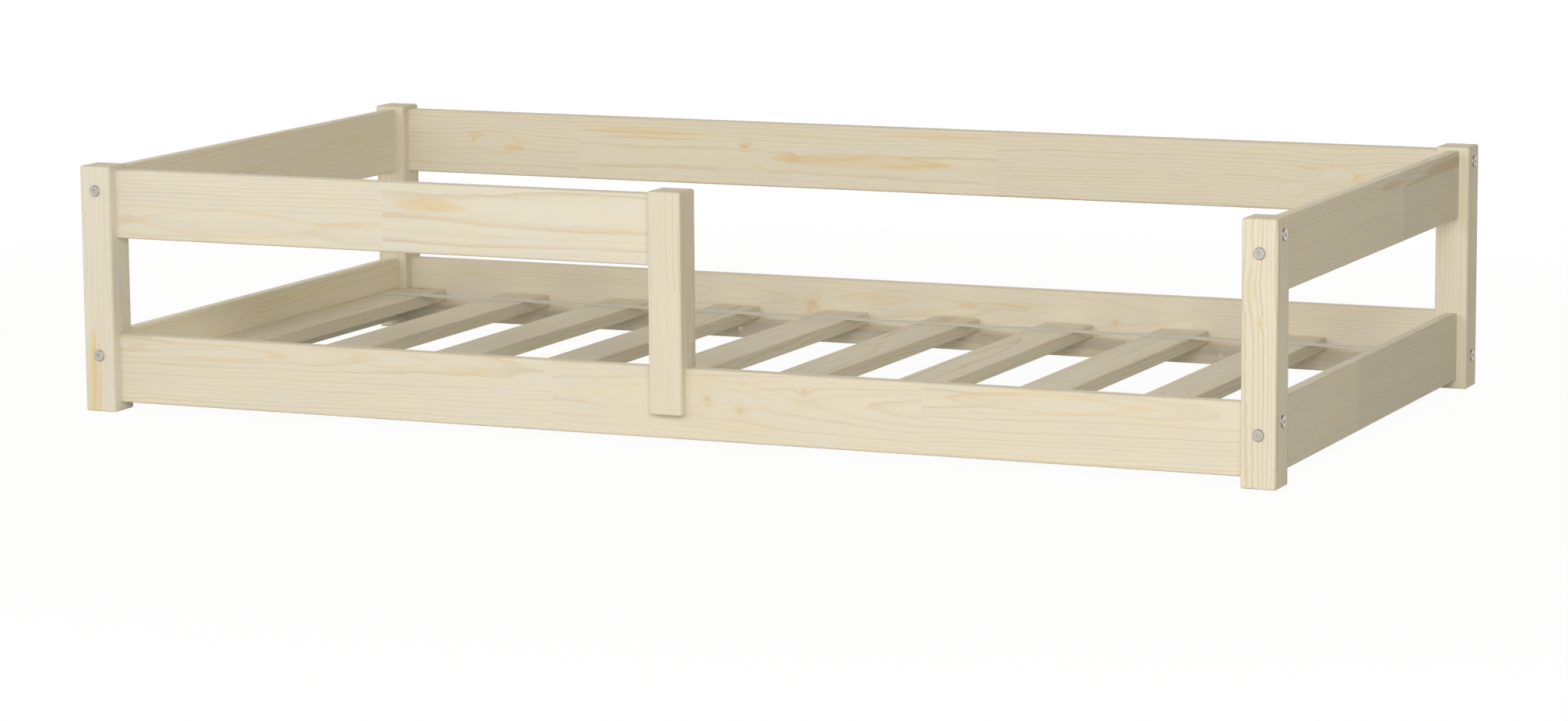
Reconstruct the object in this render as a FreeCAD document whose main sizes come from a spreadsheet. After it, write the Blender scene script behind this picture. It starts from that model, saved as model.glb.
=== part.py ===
import FreeCAD, Part
import math
import os
import re

import Sketcher

# A toddler's floor bed in planed pine: four corner posts, a ring of lower rails, upper rails on three
# sides, and on the front a half-length guard rail that ends at a slotted guard post, which leaves the
# other half open for the child. Ten slats on two webbing tapes lie on ledgers inside the long rails.
# The frame: origin on the floor at the middle of the footprint, +X along the bed towards the open
# half, +Y to the back, +Z up, millimetres.

V = FreeCAD.Vector
X_AXIS = V(1, 0, 0)
Y_AXIS = V(0, 1, 0)
Z_AXIS = V(0, 0, 1)

# ---------------------------------------------------------------- driving dimensions

SIZES = {
    # the whole bed, over the posts
    "bedLength": 1668,
    "bedWidth": 874,
    "postHeight": 330,
    "postSection": 46,
    "edgeRadius": 3,
    # rails: planed boards, centred on the posts
    "railThickness": 18,
    "railHeight": 92,
    "lowerRailBottom": 12,
    "topReveal": 5,
    # ledgers inside the long lower rails, and the slats on them
    "ledgerThickness": 18,
    "ledgerHeight": 26,
    "ledgerRise": 3,
    "ledgerEndGap": 1,
    "slatCount": 10,
    "slatWidth": 70,
    "slatThickness": 18,
    "slatRadius": 2,
    "slatSideGap": 1,
    "slatEndGap": 2,
    "slatNotchGap": 1,
    # guard post: its cheeks straddle the front lower rail and end above the ledger
    "guardSlatGap": 5,
    "guardCheekGap": 3,
    "guardSlotClearance": 0.2,
    "guardScrewInset": 16,
    # webbing tapes over the slats, stapled to each one with the crowns pressed in flush
    "tapeWidth": 25,
    "tapeThickness": 1.2,
    "tapeInset": 72,
    "tapeEndInset": 5,
    "stapleCrown": 10,
    "stapleWire": 1,
    "stapleCrownThickness": 0.6,
    "stapleLeg": 8,
    "stapleBore": 1.8,
    # connector bolts through the posts, and the threaded insert in each rail's end
    "boltHeadDiameter": 15,
    "boltHeadThickness": 2.5,
    "boltHeadBevel": 0.8,
    "boltSocket": 5,
    "boltSocketDepth": 1.8,
    "boltDiameter": 6,
    "boltReach": 32,
    "boltBoreClearance": 0.5,
    "boltTipClearance": 2,
    "blankingBoltInset": 4,
    "insertDiameter": 10,
    "insertLength": 18,
    "threadClearance": 0.1,
    # heights of the bolts above the middle of the rail that they hold
    "acrossRiseLeft": 18,
    "acrossRiseRight": 9,
    "alongRiseUpper": 30,
    "alongRiseLower": 24,
    "alongDropLower": 14,
    # wooden dowels beside the bolts
    "dowelDiameter": 8,
    "dowelLength": 36,
    "dowelOffset": 28,
    "fitClearance": 0.1,
    "boreEndClearance": 1,
    # countersunk wood screws
    "screwDiameter": 4,
    "screwHeadDiameter": 8,
    "screwReach": 12,
    "screwBoreClearance": 0.2,
    "ledgerScrewCount": 7,
    "ledgerScrewInset": 60,
}

doc = FreeCAD.newDocument("ToddlerFloorBed")
sheet = doc.addObject("Spreadsheet::Sheet", "Dimensions")
for row, (name, size) in enumerate(SIZES.items(), start=1):
    sheet.set(f"A{row}", name)
    sheet.set(f"B{row}", str(size))
    sheet.setAlias(f"B{row}", name)
doc.recompute()

# Places that several pieces share, as formulas over the sheet.
SETBACK = "((postSection - railThickness) / 2)"
INNER_HALF_LENGTH = f"(bedLength / 2 - {SETBACK} - railThickness)"
INNER_HALF_WIDTH = f"(bedWidth / 2 - {SETBACK} - railThickness)"
RAIL_BOTTOM = {
    "lower": "lowerRailBottom",
    "upper": "(postHeight - topReveal - railHeight)",
}
RAIL_MIDDLE = {tier: f"({bottom} + railHeight / 2)" for tier, bottom in RAIL_BOTTOM.items()}
LOWER_RAIL_TOP = "(lowerRailBottom + railHeight)"
LONG_RAIL_LENGTH = "(bedLength - 2 * postSection)"
END_RAIL_LENGTH = "(bedWidth - 2 * postSection)"
LEDGER_BOTTOM = "(lowerRailBottom + ledgerRise)"
LEDGER_TOP = f"({LEDGER_BOTTOM} + ledgerHeight)"
LEDGER_Y = f"({INNER_HALF_WIDTH} - ledgerThickness / 2)"
LEDGER_LENGTH = f"({LONG_RAIL_LENGTH} - 2 * ledgerEndGap)"
SLAT_TOP = f"({LEDGER_TOP} + slatThickness)"
SLAT_LENGTH = f"(2 * ({INNER_HALF_WIDTH} - slatEndGap))"
FIRST_SLAT_X = f"(slatSideGap + slatWidth / 2 - {INNER_HALF_LENGTH})"
SLAT_PITCH = f"(-2 * {FIRST_SLAT_X} / (slatCount - 1))"
TAPE_Y = f"({INNER_HALF_WIDTH} - tapeInset)"
TAPE_LENGTH = f"(2 * ({INNER_HALF_LENGTH} - slatSideGap - tapeEndInset))"
GUARD_POST_X = f"(({SLAT_PITCH} - slatWidth) / 2 - guardSlatGap - postSection / 2)"
GUARD_CHEEK_BOTTOM = f"({LEDGER_TOP} + guardCheekGap)"
GUARD_RAIL_LEFT = "(postSection - bedLength / 2)"
GUARD_RAIL_LENGTH = f"({GUARD_POST_X} - postSection / 2 - {GUARD_RAIL_LEFT})"
GUARD_SCREW_HEIGHTS = [
    f"({GUARD_CHEEK_BOTTOM} + guardScrewInset)",
    f"({LOWER_RAIL_TOP} - guardScrewInset)",
]
BOLT_BORE = "(boltDiameter + 2 * boltBoreClearance)"
INSERT_BORE = "(insertDiameter + 2 * fitClearance)"
DOWEL_BORE = "(dowelDiameter + 2 * fitClearance)"
DOWEL_BORE_DEPTH = "(dowelLength / 2 + boreEndClearance)"
SCREW_BORE = "(screwDiameter + 2 * screwBoreClearance)"
SCREW_CUT = "(screwHeadDiameter + 2 * screwBoreClearance)"
PILOT_DEPTH = "(screwReach + boreEndClearance)"
STAPLE_LEG_Y = "((stapleCrown - stapleWire) / 2)"
STAPLE_SEAT = f"({SLAT_TOP} + tapeThickness - stapleCrownThickness)"

CORNERS = {
    "front_left": (-1, -1),
    "front_right": (1, -1),
    "rear_left": (-1, 1),
    "rear_right": (1, 1),
}

# Two directions whose cross product is shorter than ALONG are parallel; a cut that removes less
# than LEAST_CUT, in cubic millimetres, has missed its piece.
ALONG = 1e-6
LEAST_CUT = 1

subparts = []
cuts = []

# ---------------------------------------------------------------- helpers


def formula(text):
    """The expression for text, with each dimension's name read from the sheet."""
    def cell(match):
        return f"Dimensions.{match.group()}" if match.group() in SIZES else match.group()
    return re.sub(r"[A-Za-z]+", cell, text)


def bind(target, path, text):
    """Ties one property of the target to a formula over the sheet."""
    target.setExpression(path, formula(text))


def place(target, x="0", y="0", z="0", turn=None):
    """Sets the target's turn, and ties its position to three formulas."""
    target.Placement = FreeCAD.Placement(V(0, 0, 0), turn or FreeCAD.Rotation())
    bind(target, "Placement.Base.x", x)
    bind(target, "Placement.Base.y", y)
    bind(target, "Placement.Base.z", z)


def finish(target, label):
    """Labels the target and lists it as a sub-part."""
    target.Label = label
    subparts.append(target)
    return target


def sketch_on(body, role, name, offset="0"):
    """A sketch on one of the body's own origin planes, moved along the plane's normal."""
    sketch = body.newObject("Sketcher::SketchObject", name)
    plane = next(feature for feature in body.Origin.OriginFeatures if feature.Role == role)
    sketch.AttachmentSupport = [(plane, "")]
    sketch.MapMode = "FlatFace"
    bind(sketch, "AttachmentOffset.Base.z", offset)
    return sketch


def measure(sketch, name, text, kind, *where):
    """Adds a named measure to the sketch and ties it to a formula."""
    number = sketch.addConstraint(Sketcher.Constraint(kind, *where, 1.0))
    sketch.renameConstraint(number, name)
    bind(sketch, f"Constraints.{name}", text)


def outline(sketch, points):
    """Closes a chain of straight lines through the points, which only start it: measures and other
    constraints settle its shape. Returns the lines' numbers in the sketch."""
    lines = [
        sketch.addGeometry(Part.LineSegment(start, end), False)
        for start, end in zip(points, points[1:] + points[:1])
    ]
    for line, following in zip(lines, lines[1:] + lines[:1]):
        sketch.addConstraint(Sketcher.Constraint("Coincident", line, 2, following, 1))
    return lines


def rectangle(sketch, wide, tall, bottom=None):
    """A rectangle centred across the sketch, standing at the height bottom, or centred if None."""
    outline(sketch, [V(-1, 0, 0), V(1, 0, 0), V(1, 2, 0), V(-1, 2, 0)])
    sketch.addConstraint(Sketcher.Constraint("Vertical", 1))
    sketch.addConstraint(Sketcher.Constraint("Vertical", 3))
    if bottom is None:
        sketch.addConstraint(Sketcher.Constraint("Horizontal", 0))
        sketch.addConstraint(Sketcher.Constraint("Horizontal", 2))
        sketch.addConstraint(Sketcher.Constraint("Symmetric", 0, 1, 1, 2, -1, 1))
    else:
        sketch.addConstraint(Sketcher.Constraint("Horizontal", 2))
        sketch.addConstraint(Sketcher.Constraint("Symmetric", 0, 1, 0, 2, -2))
        if bottom == "0":
            sketch.addConstraint(Sketcher.Constraint("PointOnObject", 0, 1, -1))
        else:
            measure(sketch, "bottom", bottom, "DistanceY", -1, 1, 0, 1)
    measure(sketch, "wide", wide, "DistanceX", 0, 1, 0, 2)
    measure(sketch, "tall", tall, "DistanceY", 1, 1, 1, 2)


def circles(sketch, centres, diameter):
    """Equal circles at the centres; a coordinate of None lies on the axis."""
    for index, (across, up) in enumerate(centres):
        circle = sketch.addGeometry(Part.Circle(V(1, 1, 0), Z_AXIS, 1), False)
        if across is None:
            sketch.addConstraint(Sketcher.Constraint("PointOnObject", circle, 3, -2))
        else:
            measure(sketch, f"across{index}", across, "DistanceX", -1, 1, circle, 3)
        if up is None:
            sketch.addConstraint(Sketcher.Constraint("PointOnObject", circle, 3, -1))
        else:
            measure(sketch, f"up{index}", up, "DistanceY", -1, 1, circle, 3)
        measure(sketch, f"size{index}", diameter, "Diameter", circle)


def round_edges(body, base, radius, direction=None):
    """Rounds the base's straight edges along a direction, or all of them."""
    doc.recompute()
    names = []
    for number, edge in enumerate(base.Shape.Edges, start=1):
        run = edge.Vertexes[1].Point - edge.Vertexes[0].Point
        if direction is None or run.cross(direction).Length < ALONG:
            names.append(f"Edge{number}")
    rounding = body.newObject("PartDesign::Fillet", f"{body.Name}_rounding")
    rounding.Base = (base, names)
    bind(rounding, "Radius", radius)
    return rounding


def bore(body, name, role, centres, diameter, depth=None, start="0", reverse=False):
    """Round holes from a plane into the body, or right through it where no depth is given."""
    doc.recompute()
    base = body.Tip
    sketch = sketch_on(body, role, f"{body.Name}_{name}_layout", start)
    circles(sketch, centres, diameter)
    pocket = body.newObject("PartDesign::Pocket", f"{body.Name}_{name}")
    pocket.Profile = sketch
    if depth is None:
        pocket.Type = "ThroughAll"
        pocket.SideType = "Symmetric"
    else:
        pocket.Type = "Length"
        bind(pocket, "Length", depth)
        pocket.Reversed = reverse
    cuts.append((base, pocket))
    return pocket


def countersunk(body, name, role, centres, depth, start, reverse=False):
    """Screw holes of the given depth with a countersink at the start plane."""
    doc.recompute()
    base = body.Tip
    sketch = sketch_on(body, role, f"{body.Name}_{name}_layout", start)
    circles(sketch, centres, SCREW_BORE)
    doc.recompute()
    hole = body.newObject("PartDesign::Hole", f"{body.Name}_{name}")
    hole.Profile = sketch
    hole.ThreadType = "None"
    hole.DepthType = "Dimension"
    hole.DrillPoint = "Flat"
    hole.HoleCutType = "Countersink"
    hole.HoleCutCountersinkAngle = 90
    hole.Reversed = reverse
    bind(hole, "Diameter", SCREW_BORE)
    bind(hole, "Depth", depth)
    bind(hole, "HoleCutDiameter", SCREW_CUT)
    cuts.append((base, hole))
    return hole


def board(name, wide, tall, long, radius):
    """A planed board along X, standing on its local XY plane, with rounded long edges."""
    body = doc.addObject("PartDesign::Body", name)
    section = sketch_on(body, "YZ_Plane", f"{name}_section")
    rectangle(section, wide, tall, bottom="0")
    pad = body.newObject("PartDesign::Pad", f"{name}_length")
    pad.Profile = section
    pad.SideType = "Symmetric"
    bind(pad, "Length", long)
    if radius:
        round_edges(body, pad, radius, X_AXIS)
    return body


def turned(name, points, sizes):
    """A round piece about Z from a half outline; sizes ties the outline's points to formulas."""
    body = doc.addObject("PartDesign::Body", name)
    profile = sketch_on(body, "XZ_Plane", f"{name}_profile")
    outline(profile, points)
    for point, (out, up) in enumerate(sizes):
        if out is None:
            profile.addConstraint(Sketcher.Constraint("PointOnObject", point, 1, -2))
        else:
            measure(profile, f"out{point}", out, "DistanceX", -1, 1, point, 1)
        if up is None:
            profile.addConstraint(Sketcher.Constraint("PointOnObject", point, 1, -1))
        else:
            measure(profile, f"up{point}", up, "DistanceY", -1, 1, point, 1)
    solid = body.newObject("PartDesign::Revolution", f"{name}_turning")
    solid.Profile = profile
    solid.ReferenceAxis = (profile, ["V_Axis"])
    solid.Angle = 360
    return body


def group(label, copies):
    """One node of separate solids: a master piece linked at each (master, turn, x, y, z)."""
    links = []
    for number, (master, turn, x, y, z) in enumerate(copies, start=1):
        link = doc.addObject("App::Link", f"{label}_{number}")
        link.LinkedObject = master
        place(link, x, y, z, turn)
        links.append(link)
    compound = doc.addObject("Part::Compound", label)
    compound.Links = links
    return finish(compound, label)


def facing(direction):
    """The turn that points a piece's local +Z along a direction."""
    return FreeCAD.Rotation(Z_AXIS, direction)


# ---------------------------------------------------------------- where the joints are


def bolt_rise(way, corner, tier):
    """A bolt's height above the middle of its rail: across holds end rails, along holds long ones."""
    if way == "across":
        return "acrossRiseLeft" if CORNERS[corner][0] < 0 else "acrossRiseRight"
    if tier == "upper":
        return "alongRiseUpper"
    return "alongRiseLower" if corner == "front_right" else "-alongDropLower"


def dowel_rise(way, corner, tier):
    """A dowel's height above the middle of its rail, on the other side from the bolt."""
    below = not bolt_rise(way, corner, tier).startswith("-")
    return "-dowelOffset" if below else "dowelOffset"


def joints_at(corner):
    """The (way, tier) of each rail end that meets a corner post."""
    ways = [(way, tier) for way in ("across", "along") for tier in ("lower", "upper")]
    if corner == "front_right":
        ways.remove(("along", "upper"))
    return ways


# ---------------------------------------------------------------- posts


def plain_post(name, bottom):
    """A square post about its own axis, from the height bottom to the top, all edges rounded."""
    body = doc.addObject("PartDesign::Body", name)
    section = sketch_on(body, "XY_Plane", f"{name}_section", bottom)
    rectangle(section, "postSection", "postSection")
    pad = body.newObject("PartDesign::Pad", f"{name}_height")
    pad.Profile = section
    bind(pad, "Length", f"postHeight - {bottom}")
    round_edges(body, pad, "edgeRadius")
    return body


def corner_post(corner):
    """A corner post, drilled for the bolts and dowels of the rails that meet it."""
    side, depth = CORNERS[corner]
    body = plain_post(f"{corner}_post", "0")
    joints = joints_at(corner)
    for way, role in (("across", "XZ_Plane"), ("along", "YZ_Plane")):
        heights = [
            f"{RAIL_MIDDLE[tier]} + {bolt_rise(way, corner, tier)}" for tier in ("lower", "upper")
        ]
        bore(body, f"{way}_bolt_bores", role, [(None, height) for height in heights], BOLT_BORE)
        dowels = [
            (None, f"{RAIL_MIDDLE[tier]} + {dowel_rise(way, corner, tier)}")
            for joint_way, tier in joints
            if joint_way == way
        ]
        inner = depth if way == "across" else -side
        backwards = depth < 0 if way == "across" else side > 0
        bore(body, f"{way}_dowel_bores", role, dowels, DOWEL_BORE, DOWEL_BORE_DEPTH,
             f"{inner} * postSection / 2", backwards)
    if corner == "front_right":
        spare = [(None, f"{RAIL_MIDDLE['upper']} + alongRiseUpper")]
        bore(body, "blanking_seat", "YZ_Plane", spare, INSERT_BORE, "insertLength",
             "-postSection / 2", True)
    place(body, f"{side} * (bedLength - postSection) / 2", f"{depth} * (bedWidth - postSection) / 2")
    return finish(body, f"{corner}_post")


for corner in CORNERS:
    corner_post(corner)

# The guard post's slot straddles the front lower rail; its head sits on the rail's top edge.
guard_post = plain_post("guard_post", GUARD_CHEEK_BOTTOM)
slot = sketch_on(guard_post, "YZ_Plane", "guard_post_slot_section")
rectangle(slot, "railThickness + 2 * guardSlotClearance", f"{LOWER_RAIL_TOP} - {GUARD_CHEEK_BOTTOM}",
          bottom=GUARD_CHEEK_BOTTOM)
doc.recompute()
slot_base = guard_post.Tip
slot_cut = guard_post.newObject("PartDesign::Pocket", "guard_post_slot")
slot_cut.Profile = slot
slot_cut.Type = "ThroughAll"
slot_cut.SideType = "Symmetric"
cuts.append((slot_base, slot_cut))
guard_dowels = [f"{RAIL_MIDDLE['upper']} + {sign}dowelOffset" for sign in ("-", "")]
bore(guard_post, "dowel_bores", "YZ_Plane", [(None, height) for height in guard_dowels],
     DOWEL_BORE, DOWEL_BORE_DEPTH, "-postSection / 2", True)
countersunk(guard_post, "screw_holes", "XZ_Plane", [(None, height) for height in GUARD_SCREW_HEIGHTS],
            SETBACK, "-postSection / 2", True)
place(guard_post, GUARD_POST_X, "-(bedWidth - postSection) / 2")
finish(guard_post, "guard_post")

# ---------------------------------------------------------------- rails


def drill_end(body, length, end, way, corner, tier):
    """Bores one end of a rail for its connector bolt, threaded insert and dowel."""
    start = f"{end} * {length} / 2"
    inward = end < 0
    bolt = [(None, f"railHeight / 2 + {bolt_rise(way, corner, tier)}")]
    dowel = [(None, f"railHeight / 2 + {dowel_rise(way, corner, tier)}")]
    bore(body, f"{corner}_bolt_bore", "YZ_Plane", bolt, BOLT_BORE,
         "boltReach + boltTipClearance", start, inward)
    bore(body, f"{corner}_insert_bore", "YZ_Plane", bolt, INSERT_BORE, "insertLength", start, inward)
    bore(body, f"{corner}_dowel_bore", "YZ_Plane", dowel, DOWEL_BORE, DOWEL_BORE_DEPTH, start, inward)


def ledger_screw_places():
    """The places along a long rail of the screws that hold its ledger."""
    last = SIZES["ledgerScrewCount"] - 1
    half = f"({LEDGER_LENGTH} / 2 - ledgerScrewInset)"
    return [f"{half} * {2 * number - last} / {last}" for number in range(last + 1)]


def rail(name, length, way, tier, corners):
    """A rail of the common section with both ends drilled; corners are at its -X and +X ends."""
    body = board(name, "railThickness", "railHeight", length, "edgeRadius")
    for end, corner in zip((-1, 1), corners):
        if corner:
            drill_end(body, length, end, way, corner, tier)
    return body


front_lower = rail("front_lower_rail", LONG_RAIL_LENGTH, "along", "lower", ("front_left", "front_right"))
back_lower = rail("back_lower_rail", LONG_RAIL_LENGTH, "along", "lower", ("rear_left", "rear_right"))
back_upper = rail("back_upper_rail", LONG_RAIL_LENGTH, "along", "upper", ("rear_left", "rear_right"))
for body, depth in ((front_lower, -1), (back_lower, 1)):
    pilots = [(x, "ledgerRise + ledgerHeight / 2") for x in ledger_screw_places()]
    bore(body, "ledger_pilots", "XZ_Plane", pilots, SCREW_BORE, PILOT_DEPTH,
         f"{depth} * railThickness / 2", depth < 0)
guard_pilots = [(GUARD_POST_X, f"{height} - lowerRailBottom") for height in GUARD_SCREW_HEIGHTS]
bore(front_lower, "guard_pilots", "XZ_Plane", guard_pilots, SCREW_BORE, PILOT_DEPTH,
     "-railThickness / 2", True)
for body, depth, tier in ((front_lower, -1, "lower"), (back_lower, 1, "lower"), (back_upper, 1, "upper")):
    place(body, "0", f"{depth} * (bedWidth - postSection) / 2", RAIL_BOTTOM[tier])
    finish(body, body.Name)

# The guard rail runs from the front left post to the guard post's side, where two dowels hold it.
guard_rail = rail("front_guard_rail", GUARD_RAIL_LENGTH, "along", "upper", ("front_left", None))
bore(guard_rail, "guard_dowel_bores", "YZ_Plane",
     [(None, "railHeight / 2 - dowelOffset"), (None, "railHeight / 2 + dowelOffset")],
     DOWEL_BORE, DOWEL_BORE_DEPTH, f"{GUARD_RAIL_LENGTH} / 2")
place(guard_rail, f"{GUARD_RAIL_LEFT} + {GUARD_RAIL_LENGTH} / 2",
      "-(bedWidth - postSection) / 2", RAIL_BOTTOM["upper"])
finish(guard_rail, "front_guard_rail")

# The end rails lie along Y: their local +X end is at the back.
QUARTER_TURN = FreeCAD.Rotation(Z_AXIS, 90)
for side_name, side in (("left", -1), ("right", 1)):
    for tier in ("lower", "upper"):
        end_rail = rail(f"{side_name}_{tier}_end_rail", END_RAIL_LENGTH, "across", tier,
                        (f"front_{side_name}", f"rear_{side_name}"))
        place(end_rail, f"{side} * (bedLength - postSection) / 2", "0", RAIL_BOTTOM[tier], QUARTER_TURN)
        finish(end_rail, end_rail.Name)

# ---------------------------------------------------------------- ledgers and slats

for name, depth in (("front", -1), ("back", 1)):
    ledger = board(f"{name}_slat_ledger", "ledgerThickness", "ledgerHeight", LEDGER_LENGTH, "slatRadius")
    heads = [(x, "ledgerHeight / 2") for x in ledger_screw_places()]
    countersunk(ledger, "screw_holes", "XZ_Plane", heads, "ledgerThickness", "-ledgerThickness / 2", True)
    pilots = [(f"{sign}{FIRST_SLAT_X}", None) for sign in ("", "-")]
    bore(ledger, "slat_pilots", "XY_Plane", pilots, SCREW_BORE, PILOT_DEPTH, "ledgerHeight")
    place(ledger, "0", f"{depth} * {LEDGER_Y}", LEDGER_BOTTOM,
          FreeCAD.Rotation(Z_AXIS, 180 if depth > 0 else 0))
    finish(ledger, ledger.Name)


def slat_x(number):
    """The middle of a slat along the bed, counted from 0 at the left end."""
    return f"({FIRST_SLAT_X} + {number} * {SLAT_PITCH})"


def notch_end_slat(body, outer):
    """Cuts the two corners of an end slat that would meet the posts; outer is their side along Y."""
    reach = f"({INNER_HALF_WIDTH} - slatEndGap - (bedWidth / 2 - postSection - slatNotchGap))"
    depth = f"({INNER_HALF_LENGTH} - slatSideGap - (bedLength / 2 - postSection - slatNotchGap))"
    plane = next(feature for feature in body.Origin.OriginFeatures if feature.Role == "XY_Plane")
    for end in (-1, 1):
        doc.recompute()
        base = body.Tip
        notch = body.newObject("PartDesign::SubtractiveBox", f"{body.Name}_notch")
        notch.AttachmentSupport = [(plane, "")]
        notch.MapMode = "FlatFace"
        bind(notch, "Length", reach)
        bind(notch, "Width", depth)
        bind(notch, "Height", "slatThickness")
        bind(notch, "AttachmentOffset.Base.x", f"{end} * ({SLAT_LENGTH} - {reach}) / 2 - {reach} / 2")
        bind(notch, "AttachmentOffset.Base.y", f"{outer} * (slatWidth - {depth}) / 2 - {depth} / 2")
        cuts.append((base, notch))


LAST_SLAT = SIZES["slatCount"] - 1
for number in range(LAST_SLAT + 1):
    slat = board(f"slat_{number + 1:02d}", "slatWidth", "slatThickness", SLAT_LENGTH, "slatRadius")
    legs = [
        (f"{tape} * {TAPE_Y} + {leg} * {STAPLE_LEG_Y}", None)
        for tape in (-1, 1)
        for leg in (-1, 1)
    ]
    bore(slat, "staple_bores", "XY_Plane", legs, "stapleBore", "stapleLeg", "slatThickness")
    if number in (0, LAST_SLAT):
        ends = [(f"{sign}{LEDGER_Y}", None) for sign in ("", "-")]
        countersunk(slat, "screw_holes", "XY_Plane", ends, "slatThickness", "slatThickness")
        notch_end_slat(slat, 1 if number == 0 else -1)
    place(slat, slat_x(number), "0", LEDGER_TOP, QUARTER_TURN)
    finish(slat, slat.Name)

# ---------------------------------------------------------------- webbing tapes and staples

staple = doc.addObject("PartDesign::Body", "staple")
wire = sketch_on(staple, "YZ_Plane", "staple_wire")
outline(wire, [V(-5, 1, 0), V(-5, -8, 0), V(-4, -8, 0), V(-4, 0, 0),
               V(4, 0, 0), V(4, -8, 0), V(5, -8, 0), V(5, 1, 0)])
for line in (0, 2, 4, 6):
    wire.addConstraint(Sketcher.Constraint("Vertical", line))
for line in (1, 5):
    wire.addConstraint(Sketcher.Constraint("Horizontal", line))
wire.addConstraint(Sketcher.Constraint("PointOnObject", 3, 1, -1))
wire.addConstraint(Sketcher.Constraint("PointOnObject", 4, 1, -1))
wire.addConstraint(Sketcher.Constraint("Symmetric", 0, 1, 7, 1, -2))
measure(wire, "crown", "stapleCrown", "DistanceX", 0, 1, 7, 1)
measure(wire, "left", "stapleWire", "DistanceX", 1, 1, 2, 1)
measure(wire, "right", "stapleWire", "DistanceX", 5, 1, 6, 1)
measure(wire, "thick", "stapleCrownThickness", "DistanceY", 3, 1, 0, 1)
measure(wire, "leftLeg", "stapleLeg", "DistanceY", 2, 1, 3, 1)
measure(wire, "rightLeg", "stapleLeg", "DistanceY", 5, 1, 4, 1)
staple_pad = staple.newObject("PartDesign::Pad", "staple_pad")
staple_pad.Profile = wire
staple_pad.SideType = "Symmetric"
bind(staple_pad, "Length", "stapleWire")


def press_staples(tape):
    """Sinks a seat into the tape's top for each staple's crown."""
    doc.recompute()
    base = tape.Tip
    seats = sketch_on(tape, "XY_Plane", f"{tape.Name}_seat_layout", "tapeThickness")
    for number in range(LAST_SLAT + 1):
        near, right, far, left = outline(seats, [V(-1, -5, 0), V(1, -5, 0), V(1, 5, 0), V(-1, 5, 0)])
        seats.addConstraint(Sketcher.Constraint("Horizontal", near))
        seats.addConstraint(Sketcher.Constraint("Horizontal", far))
        seats.addConstraint(Sketcher.Constraint("Vertical", left))
        seats.addConstraint(Sketcher.Constraint("Symmetric", right, 1, right, 2, -1))
        measure(seats, f"start{number}", f"{slat_x(number)} - stapleWire / 2 - fitClearance",
                "DistanceX", -1, 1, near, 1)
        measure(seats, f"wide{number}", "stapleWire + 2 * fitClearance", "DistanceX", near, 1, near, 2)
        measure(seats, f"tall{number}", "stapleCrown + 2 * fitClearance", "DistanceY", right, 1, right, 2)
    pocket = tape.newObject("PartDesign::Pocket", f"{tape.Name}_seats")
    pocket.Profile = seats
    bind(pocket, "Length", "stapleCrownThickness")
    cuts.append((base, pocket))


for name, depth in (("front", -1), ("back", 1)):
    tape = board(f"{name}_webbing_tape", "tapeWidth", "tapeThickness", TAPE_LENGTH, None)
    legs = [
        (slat_x(number), f"{leg} * {STAPLE_LEG_Y}")
        for number in range(LAST_SLAT + 1)
        for leg in (-1, 1)
    ]
    bore(tape, "staple_bores", "XY_Plane", legs, "stapleBore")
    press_staples(tape)
    place(tape, "0", f"{depth} * {TAPE_Y}", SLAT_TOP)
    finish(tape, tape.Name)

group("tape_staples", [
    (staple, None, slat_x(number), f"{depth} * {TAPE_Y}", STAPLE_SEAT)
    for depth in (-1, 1)
    for number in range(LAST_SLAT + 1)
])

# ---------------------------------------------------------------- bolts, inserts and dowels


def connector_bolt(name, shank):
    """A flat-headed bolt with a hexagon socket; its head seats on z = 0 and its shank hangs below."""
    radius = "boltDiameter / 2"
    head = "boltHeadDiameter / 2"
    top = "boltHeadThickness"
    body = turned(
        name,
        [V(0, -20, 0), V(3, -20, 0), V(3, 0, 0), V(7, 0, 0), V(7, 2, 0), V(6, 3, 0), V(0, 3, 0)],
        [(None, f"-({shank})"), (radius, f"-({shank})"), (radius, None), (head, None),
         (head, f"{top} - boltHeadBevel"), (f"{head} - boltHeadBevel", top), (None, top)],
    )
    doc.recompute()
    base = body.Tip
    socket = sketch_on(body, "XY_Plane", f"{name}_socket_outline", top)
    corners = [V(3 * math.cos(turn * math.pi / 3), 3 * math.sin(turn * math.pi / 3), 0) for turn in range(6)]
    outline(socket, corners)
    ring = socket.addGeometry(Part.Circle(V(0, 0, 0), Z_AXIS, 3), True)
    socket.addConstraint(Sketcher.Constraint("Coincident", ring, 3, -1, 1))
    for corner_number in range(6):
        socket.addConstraint(Sketcher.Constraint("PointOnObject", corner_number, 1, ring))
    for corner_number in range(1, 6):
        socket.addConstraint(Sketcher.Constraint("Equal", 0, corner_number))
    socket.addConstraint(Sketcher.Constraint("PointOnObject", 0, 1, -1))
    measure(socket, "acrossCorners", "boltSocket * 2 / sqrt(3)", "Diameter", ring)
    pocket = body.newObject("PartDesign::Pocket", f"{name}_socket")
    pocket.Profile = socket
    bind(pocket, "Length", "boltSocketDepth")
    cuts.append((base, pocket))
    return body


def sleeve(name, length, outer, inner):
    """A plain sleeve from z = 0 down to the given length."""
    return turned(
        name,
        [V(3, -18, 0), V(5, -18, 0), V(5, 0, 0), V(3, 0, 0)],
        [(inner, f"-({length})"), (outer, f"-({length})"), (outer, None), (inner, None)],
    )


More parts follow.
